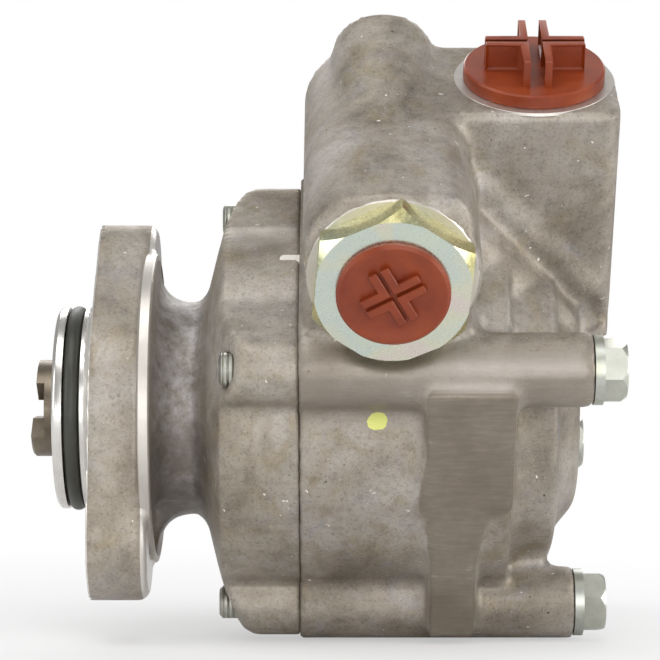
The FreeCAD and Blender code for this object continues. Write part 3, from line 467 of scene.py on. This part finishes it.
def piece_from(bm, name, coat, body, matrix, node_name=None):
    """Sets a drawn piece in its seat and makes it ride with its body."""
    bmesh.ops.recalc_face_normals(bm, faces=bm.faces)
    bmesh.ops.transform(bm, matrix=matrix, verts=bm.verts)
    for face in bm.faces:
        face.smooth = True
    for edge in bm.edges:
        if len(edge.link_faces) == 2 and edge.calc_face_angle() > SHARP_FROM:
            edge.smooth = False
    mesh = bpy.data.meshes.new(name)
    bm.to_mesh(mesh)
    bm.free()
    mesh.materials.append(coat)
    piece = bpy.data.objects.new(name, mesh)
    bpy.context.collection.objects.link(piece)
    if node_name:
        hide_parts(node_name)
    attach(piece, body)
    return piece


# %% [markdown]
# ## Castings with the soft edges of a mould
# A casting has no sharp inside corner. A copy of each packed casting is rebuilt as an even
# skin of small cells and then relaxed, which rounds every corner by one or two millimetres,
# as the fillets of the mould do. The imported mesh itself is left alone.

# %% Rebuild the castings


def cover_machined(co):
    """True on the joint face, the flange's front and the turned rim behind its ears."""
    x, radius = co.x / MM, math.hypot(co.y, co.z) / MM
    return abs(x - JOINT_X) < 1.8 or x < 1.2 or (12.2 < x < 15.9 and radius > 36.4)


def housing_machined(co):
    """True on the joint face and the sawn pad."""
    return abs(co.x / MM - JOINT_X) < 1.8 or (TILT.inverted() @ co).y / MM < PAD_Y + 1.2


def flattened(skin):
    """Brings the joint face exactly into its plane."""
    square = [abs(vertex.normal.x) > 0.8 for vertex in skin.vertices]
    for vertex, faces_along in zip(skin.vertices, square):
        if faces_along and abs(vertex.co.x - JOINT_X * MM) < 0.9 * MM:
            vertex.co.x = JOINT_X * MM


def casting(node_name, coat, cell_mm, passes, machined_at, added):
    """A softened copy of a packed casting and an added shape, which takes that node's place."""
    mesh = nodes[node_name].data.copy()
    bm = bmesh.new()
    bm.from_mesh(mesh)
    bmesh.ops.remove_doubles(bm, verts=bm.verts, dist=0.00001)
    bm.from_mesh(added)
    bm.to_mesh(mesh)
    bm.free()
    rough_piece = bpy.data.objects.new(node_name + "_rough", mesh)
    bpy.context.collection.objects.link(rough_piece)
    cells = rough_piece.modifiers.new("cells", "REMESH")
    cells.mode = "VOXEL"
    cells.voxel_size = cell_mm * MM
    depsgraph = bpy.context.evaluated_depsgraph_get()
    skin = bpy.data.meshes.new_from_object(rough_piece.evaluated_get(depsgraph))
    rough_piece.modifiers.clear()
    rough_piece.data = skin
    soft = rough_piece.vertex_groups.new(name="soft")
    soft.add([v.index for v in skin.vertices if not machined_at(v.co)], 1.0, "REPLACE")
    relax = rough_piece.modifiers.new("relax", "SMOOTH")
    relax.factor, relax.iterations, relax.vertex_group = 0.5, passes, "soft"
    depsgraph = bpy.context.evaluated_depsgraph_get()
    cells_only, skin = skin, bpy.data.meshes.new_from_object(rough_piece.evaluated_get(depsgraph))
    bpy.data.objects.remove(rough_piece)
    bpy.data.meshes.remove(mesh)
    bpy.data.meshes.remove(cells_only)
    flattened(skin)
    skin.name = node_name + "_cast"
    skin.materials.clear()
    skin.materials.append(coat)
    for polygon in skin.polygons:
        polygon.use_smooth = True
    piece = bpy.data.objects.new(node_name + "_cast", skin)
    bpy.context.collection.objects.link(piece)
    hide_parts(node_name)
    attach(piece, "housing")
    return piece


def tool_from(bm, name, matrix):
    """A closed helper shape, used once and then removed."""
    bmesh.ops.recalc_face_normals(bm, faces=bm.faces)
    bmesh.ops.transform(bm, matrix=matrix, verts=bm.verts)
    mesh = bpy.data.meshes.new(name)
    bm.to_mesh(mesh)
    bm.free()
    tool = bpy.data.objects.new(name, mesh)
    bpy.context.collection.objects.link(tool)
    return tool


def drilled(tool, cutters):
    """The mesh of a helper shape after its cutters; the helpers are removed."""
    for cutter in cutters:
        cut = tool.modifiers.new("cut", "BOOLEAN")
        cut.operation, cut.object, cut.solver = "DIFFERENCE", cutter, "EXACT"
    depsgraph = bpy.context.evaluated_depsgraph_get()
    mesh = bpy.data.meshes.new_from_object(tool.evaluated_get(depsgraph))
    for helper in (tool, *cutters):
        data = helper.data
        bpy.data.objects.remove(helper)
        bpy.data.meshes.remove(data)
    return mesh


def drum(radius, x_mid, depth, y=0.0, z=0.0):
    """A cylinder along the shaft axis, as a cutter."""
    bm = bmesh.new()
    bmesh.ops.create_cone(bm, cap_ends=True, segments=64, radius1=radius, radius2=radius,
                          depth=depth)
    bmesh.ops.translate(bm, verts=bm.verts, vec=(y, z, x_mid))
    return tool_from(bm, "cutter", SHAFT_SEAT)


# behind the ears stands a round turned rim, and from it the neck sweeps inwards
bm = bmesh.new()
spun(bm, [(24.2, 12.4), (37.9, 12.4), (38.3, 12.8), (38.3, 15.2), (37.8, 15.5), (36.6, 15.6),
          (33.4, 15.9), (30.6, 16.7), (28.4, 18.2), (27.0, 20.6), (26.4, 23.6), (24.2, 23.6)], 128, True)
rim_tool = tool_from(bm, "rim_tool", SHAFT_SEAT)
lean = math.radians(EAR_LEAN)
ear_y, ear_z = EAR_PCD_R * math.cos(lean), EAR_PCD_R * math.sin(lean)
HOLE, SPOT_FACE = (4.5, 14.0, 12.0), (8.6, 20.1, 11.0)
cutters = [drum(*size, side * ear_y, side * ear_z) for size in (HOLE, SPOT_FACE) for side in (1, -1)]
rim_mesh = drilled(rim_tool, cutters)
print("rim", len(rim_mesh.polygons))
cover = casting("front_cover", cast_cover, 1.10, 3, cover_machined, rim_mesh)
bpy.data.meshes.remove(rim_mesh)

# the gusset beside the near boss, clear of the pump's cavity, and the rounded rib along the
# valley, in the turned frame
PUMP_BORE_R, RIB_R = 41.0, 4.3
turned_seat = TILT.to_4x4() @ Matrix.Scale(MM, 4)
bm = bmesh.new()
for corner in ((81.5, -7, 66), (81.5, 6, 70), (119.5, -4, 24), (119.5, 6, 30), (81.5, -17, 44),
               (81.5, -17, 16), (117, -12, 16), (119.5, 6, 16), (81.5, 6, 16)):
    bm.verts.new(corner)
bmesh.ops.convex_hull(bm, input=bm.verts)
gusset_mesh = drilled(tool_from(bm, "gusset_tool", turned_seat), [drum(PUMP_BORE_R, 75.0, 52.0)])
rib_from, rib_to = Vector((86.5, 7.2, 67.1)), Vector((123.0, 6.6, 30.2))
bm = bmesh.new()
bmesh.ops.create_cone(bm, cap_ends=True, segments=32, radius1=RIB_R, radius2=RIB_R,
                      depth=(rib_to - rib_from).length)
along = (rib_to - rib_from).to_track_quat("Z", "Y").to_matrix().to_4x4()
bmesh.ops.transform(bm, matrix=turned_seat @ Matrix.Translation((rib_from + rib_to) / 2) @ along,
                    verts=bm.verts)
bm.from_mesh(gusset_mesh)
bm.to_mesh(gusset_mesh)
bm.free()
print("gusset", len(gusset_mesh.polygons))
housing = casting("main_housing", cast_housing, 1.40, 4, housing_machined, gusset_mesh)
bpy.data.meshes.remove(gusset_mesh)
print("cells", len(cover.data.polygons), len(housing.data.polygons))

# %% Turned skins of the cover and housing
bm = bmesh.new()
spun(bm, [(13.5, -8.93), (24.1, -8.93), (24.9, -8.3), (25.03, -7.9), (25.03, -6.45), (24.9, -6.36),
          (21.2, -6.36)], 160)
spun(bm, [(21.2, -2.24), (24.9, -2.24), (25.03, -2.1), (25.03, -0.02)], 160)
pilot_skin = piece_from(bm, "pilot_lands", turned_alu, "housing", SHAFT_SEAT)
bm = bmesh.new()
spun(bm, [(37.9, 12.75), (38.42, 13.0), (38.46, 15.15), (38.2, 15.45), (36.9, 15.62)], 160)
rim_skin = piece_from(bm, "rim_land", milled_alu, "housing", SHAFT_SEAT)
bm = bmesh.new()
spun(bm, [(14.0, 0.10), (19.4, 0.10), (19.8, -0.5)])
collar_skin = piece_from(bm, "collar_face", milled_alu, "housing", COLLAR_SEAT)
bm = bmesh.new()
spun(bm, [(12.6, 0.10), (19.3, 0.10), (19.7, -0.5)])
suction_skin = piece_from(bm, "suction_face", milled_alu, "housing", SUCTION_SEAT)

# a short bright slot is milled into the cover beside the joint
bm = bmesh.new()
SLOT_DEPTH = 0.5
hit = cover.ray_cast(Vector((0.0485, -0.3, 0.0364)), Vector((0, 1, 0)))[1]
outline = [(49.9, 35.4), (51.0, 35.4), (51.0, 37.5), (46.9, 37.5), (46.3, 37.0), (46.2, 36.4),
           (46.4, 35.7), (46.9, 35.4)]
pushed(bm, outline, -hit.y / MM - SLOT_DEPTH, -hit.y / MM + 0.12)
front = Matrix(((1, 0, 0, 0), (0, 0, -1, 0), (0, 1, 0, 0), (0, 0, 0, 1))) @ Matrix.Scale(MM, 4)
slot_floor = piece_from(bm, "milled_slot", milled_alu, "housing", front)

# %% [markdown]
# The seal ring stands a little proud of its groove, as it does before it is squeezed into
# its bore.

# %% Seal ring of the pilot
bm = bmesh.new()
RING_R, RING_X, CORD_R = 23.45, -4.3, 1.98
spun(bm, [(RING_R + CORD_R * math.cos(a), RING_X + CORD_R * math.sin(a))
          for a in [math.tau * i / 20 for i in range(20)]], 160, True)
piece_from(bm, "seal_ring", rubber, "housing", SHAFT_SEAT, "pilot_ring")

# %% [markdown]
# ## The plugs
# Both are one moulding each. The pressure plug is a dished disc with four low L-shaped
# ridges, and the gaps between them make the dark cross. The suction plug carries four tall
# L-shaped walls, each with a shallow window on its outer side.

# %% Pressure plug


def corner_walls(bm, reach, thick, gap_x, gap_y, z0, z1, turn, window, edge):
    """Four L-shaped walls around a cross of gaps."""
    for sx, sy in ((1, 1), (-1, 1), (-1, -1), (1, -1)):
        outline = [(gap_x, gap_y), (reach, gap_y), (reach, gap_y + thick),
                   (gap_x + thick, gap_y + thick), (gap_x + thick, reach), (gap_x, reach)]
        outline = [(sx * x, sy * y) for x, y in outline][::sx * sy]
        c, s = math.cos(turn), math.sin(turn)
        outline = [(x * c - y * s, x * s + y * c) for x, y in outline]
        part = bmesh.new()
        pushed(part, outline, z0, z1)
        bmesh.ops.recalc_face_normals(part, faces=part.faces)
        if window:
            sides = [f for f in part.faces if abs(f.normal.z) < 0.1
                     and f.calc_area() > 0.9 * (reach - gap_x - thick) * (z1 - z0)]
            bmesh.ops.inset_individual(part, faces=sides[:], thickness=1.1, depth=-window)
        sharp = [e for e in part.edges if e.is_convex and e.calc_face_angle(0) > 0.6
                 and max(v.co.z for v in e.verts) > z0 + 0.1]
        bmesh.ops.bevel(part, geom=sharp, offset=edge, segments=3, profile=0.6, affect="EDGES",
                        clamp_overlap=True)
        shell = bpy.data.meshes.new("shell")
        part.to_mesh(shell)
        part.free()
        bm.from_mesh(shell)
        bpy.data.meshes.remove(shell)


bm = bmesh.new()
spun(bm, [(0, -6), (7.2, -6), (8.0, -5.2), (8.1, -0.05), (12.9, 0.0), (13.0, 0.25), (12.95, 1.1),
          (12.2, 1.75), (11.5, 1.72), (10.6, 1.25), (8.6, 0.95), (0, 0.9)])
corner_walls(bm, 7.3, 2.1, 0.45, 0.45, 0.6, 2.35, math.radians(29.0), 0.0, 0.42)
pressure_plug = piece_from(bm, "pressure_plug_moulded", plug_red, "pressure_cap", PRESSURE_SEAT,
                           "pressure_plug")

# %% Suction plug
bm = bmesh.new()
spun(bm, [(0, -10), (11.0, -10), (12.0, -9.0), (12.05, -0.05), (16.9, 0.0), (17.15, 0.3),
          (17.15, 3.1), (16.7, 3.5), (0, 3.5)])
corner_walls(bm, 12.0, 2.2, 1.45, 0.55, 3.2, 10.2, 0.0, 0.8, 0.5)
suction_plug = piece_from(bm, "suction_plug_moulded", plug_red, "suction_cap", SUCTION_SEAT,
                          "suction_plug")
print("plugs", len(pressure_plug.data.polygons), len(suction_plug.data.polygons))

# %% Springs of the valve


def squeezed(node_name, body):
    """A copy of a spring in oiled spring steel that takes the node's place and rides with its body."""
    mesh = nodes[node_name].data.copy()
    mesh.name = node_name + "_coil"
    mesh.materials.clear()
    mesh.materials.append(spring_steel)
    piece = bpy.data.objects.new(node_name + "_coil", mesh)
    bpy.context.collection.objects.link(piece)
    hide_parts(node_name)
    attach(piece, body)
    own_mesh(piece)


squeezed("spool_spring", "housing")
squeezed("relief_spring", "spool")

# %% [markdown]
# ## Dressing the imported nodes
# The other machined nodes already have the right shape. Each gets its finish in its own
# slots.

# %% Finishes for the nodes that stay
dress = {
    "joint_ring": rubber, "shaft_seal": rubber, "adapter_ring": rubber,
    "bearing_clip": spring_steel, "shaft_clip": spring_steel, "plate_spring": spring_steel,
    "bearing_cage": cage_plastic, "drive_shaft": brown_steel,
    "front_bush": bronze, "rear_bush": bronze, "rotor": sintered, "cam_ring": sintered,
    "front_plate": sintered, "rear_plate": sintered, "pressure_adapter": yellow_zinc,
}
replaced = ("front_cover", "main_housing", "pilot_ring", "pressure_plug", "suction_plug",
            "spool_spring", "relief_spring")
for name, node in nodes.items():
    if name in replaced:
        continue
    node.data.materials.clear()
    node.data.materials.append(dress.get(name, threads if "tie_bolt" in name else
                                         zinc if "bolt" in name else ground_steel))
print("dressed", len(nodes) - len(replaced))

# %% [markdown]
# ## Floor, light and camera
# The photograph is a plain product picture: white ground, broad soft light from above
# and both sides. The camera looks level along +Y from 0.66 m, with a long lens, as the
# picture's perspective shows.

# %% Floor
FLOOR_HALF, FLOOR_GAP = 6.0, 0.0004
SHADOW_R, WHITE_R = 0.09, 0.30
mesh = bpy.data.meshes.new("floor")
bm = bmesh.new()
bmesh.ops.create_grid(bm, x_segments=1, y_segments=1, size=FLOOR_HALF)
bmesh.ops.translate(bm, verts=bm.verts, vec=(0.06, 0, cad_box[0][2] - FLOOR_GAP))
bm.to_mesh(mesh)
bm.free()
floor = bpy.data.objects.new("floor", mesh)
bpy.context.collection.objects.link(floor)
floor_coat, tree, shader, place = finish("pale_paper")
shader.inputs["Base Color"].default_value = linear("#e6e6e6")
shader.inputs["Roughness"].default_value = 0.9
spread = add(tree, "VectorMath", {"operation": "LENGTH"}, Vector=place).outputs["Value"]
away = add(tree, "MapRange", {"interpolation_type": "SMOOTHSTEP"}, Value=spread,
           From_Min=SHADOW_R, From_Max=WHITE_R, To_Min=0.45, To_Max=1.0).outputs[0]
seen_by = add(tree, "LightPath").outputs["Is Camera Ray"]
white = add(tree, "Emission", Color=(1, 1, 1, 1), Strength=1.0)
blend_floor = add(tree, "MixShader", Fac=times(tree, away, seen_by))
tree.links.new(shader.outputs[0], blend_floor.inputs[1])
tree.links.new(white.outputs[0], blend_floor.inputs[2])
tree.links.new(blend_floor.outputs[0], tree.nodes["Material Output"].inputs["Surface"])
floor.data.materials.append(floor_coat)

# %% World and lamps
AMBIENT = 0.38
PUMP_MIDDLE = Vector((0.06, 0.0, 0.02))
world = bpy.data.worlds.new("studio")
bpy.context.scene.world = world
world.use_nodes = True
tree = world.node_tree
background = tree.nodes["Background"]
background.inputs["Color"].default_value = (1, 1, 1, 1)
background.inputs["Strength"].default_value = AMBIENT
seen = add(tree, "Background", Color=(1, 1, 1, 1), Strength=1.0)
rays = add(tree, "LightPath").outputs
white_rays = math_node(tree, "MAXIMUM", rays["Is Camera Ray"], rays["Is Transmission Ray"])
blend_sky = add(tree, "MixShader", Fac=white_rays)
tree.links.new(background.outputs[0], blend_sky.inputs[1])
tree.links.new(seen.outputs[0], blend_sky.inputs[2])
tree.links.new(blend_sky.outputs[0], tree.nodes["World Output"].inputs["Surface"])


def softbox(name, place, size, power):
    """A white rectangular lamp that looks at the pump; sizes in metres, power in watts."""
    lamp = bpy.data.lights.new(name, "AREA")
    lamp.shape = "RECTANGLE"
    lamp.size, lamp.size_y = size
    lamp.energy = power
    thing = bpy.data.objects.new(name, lamp)
    bpy.context.collection.objects.link(thing)
    thing.location = place
    thing.rotation_euler = (PUMP_MIDDLE - Vector(place)).to_track_quat("-Z", "Y").to_euler()


softbox("key_above", (-0.15, -0.35, 0.85), (0.9, 0.5), 4.0)
softbox("front", (0.25, -1.0, 0.25), (0.8, 0.5), 2.5)
softbox("fill_left", (-0.9, -0.35, 0.10), (0.4, 0.9), 3.2)
softbox("fill_right", (0.95, -0.25, 0.15), (0.4, 0.9), 5.0)
softbox("low_front", (0.0, -0.75, -0.03), (1.2, 0.05), 1.3)
softbox("back_rim", (0.1, 0.9, 0.6), (1.0, 0.5), 5.0)

# %% Camera
SENSOR_MM, PHOTO_WIDTH, FOCAL_POINTS = 36.0, 660.0, 2650.0
camera = bpy.data.cameras.new("camera")
camera.sensor_width = SENSOR_MM
camera.lens = SENSOR_MM * FOCAL_POINTS / PHOTO_WIDTH
camera.clip_start, camera.clip_end = 0.01, 50.0
eye = bpy.data.objects.new("camera", camera)
bpy.context.collection.objects.link(eye)
eye.location = (0.0583, -0.6625, 0.0195)
eye.rotation_euler = (math.radians(90), 0, 0)
bpy.context.scene.camera = eye
bpy.context.scene.view_settings.view_transform = "Standard"
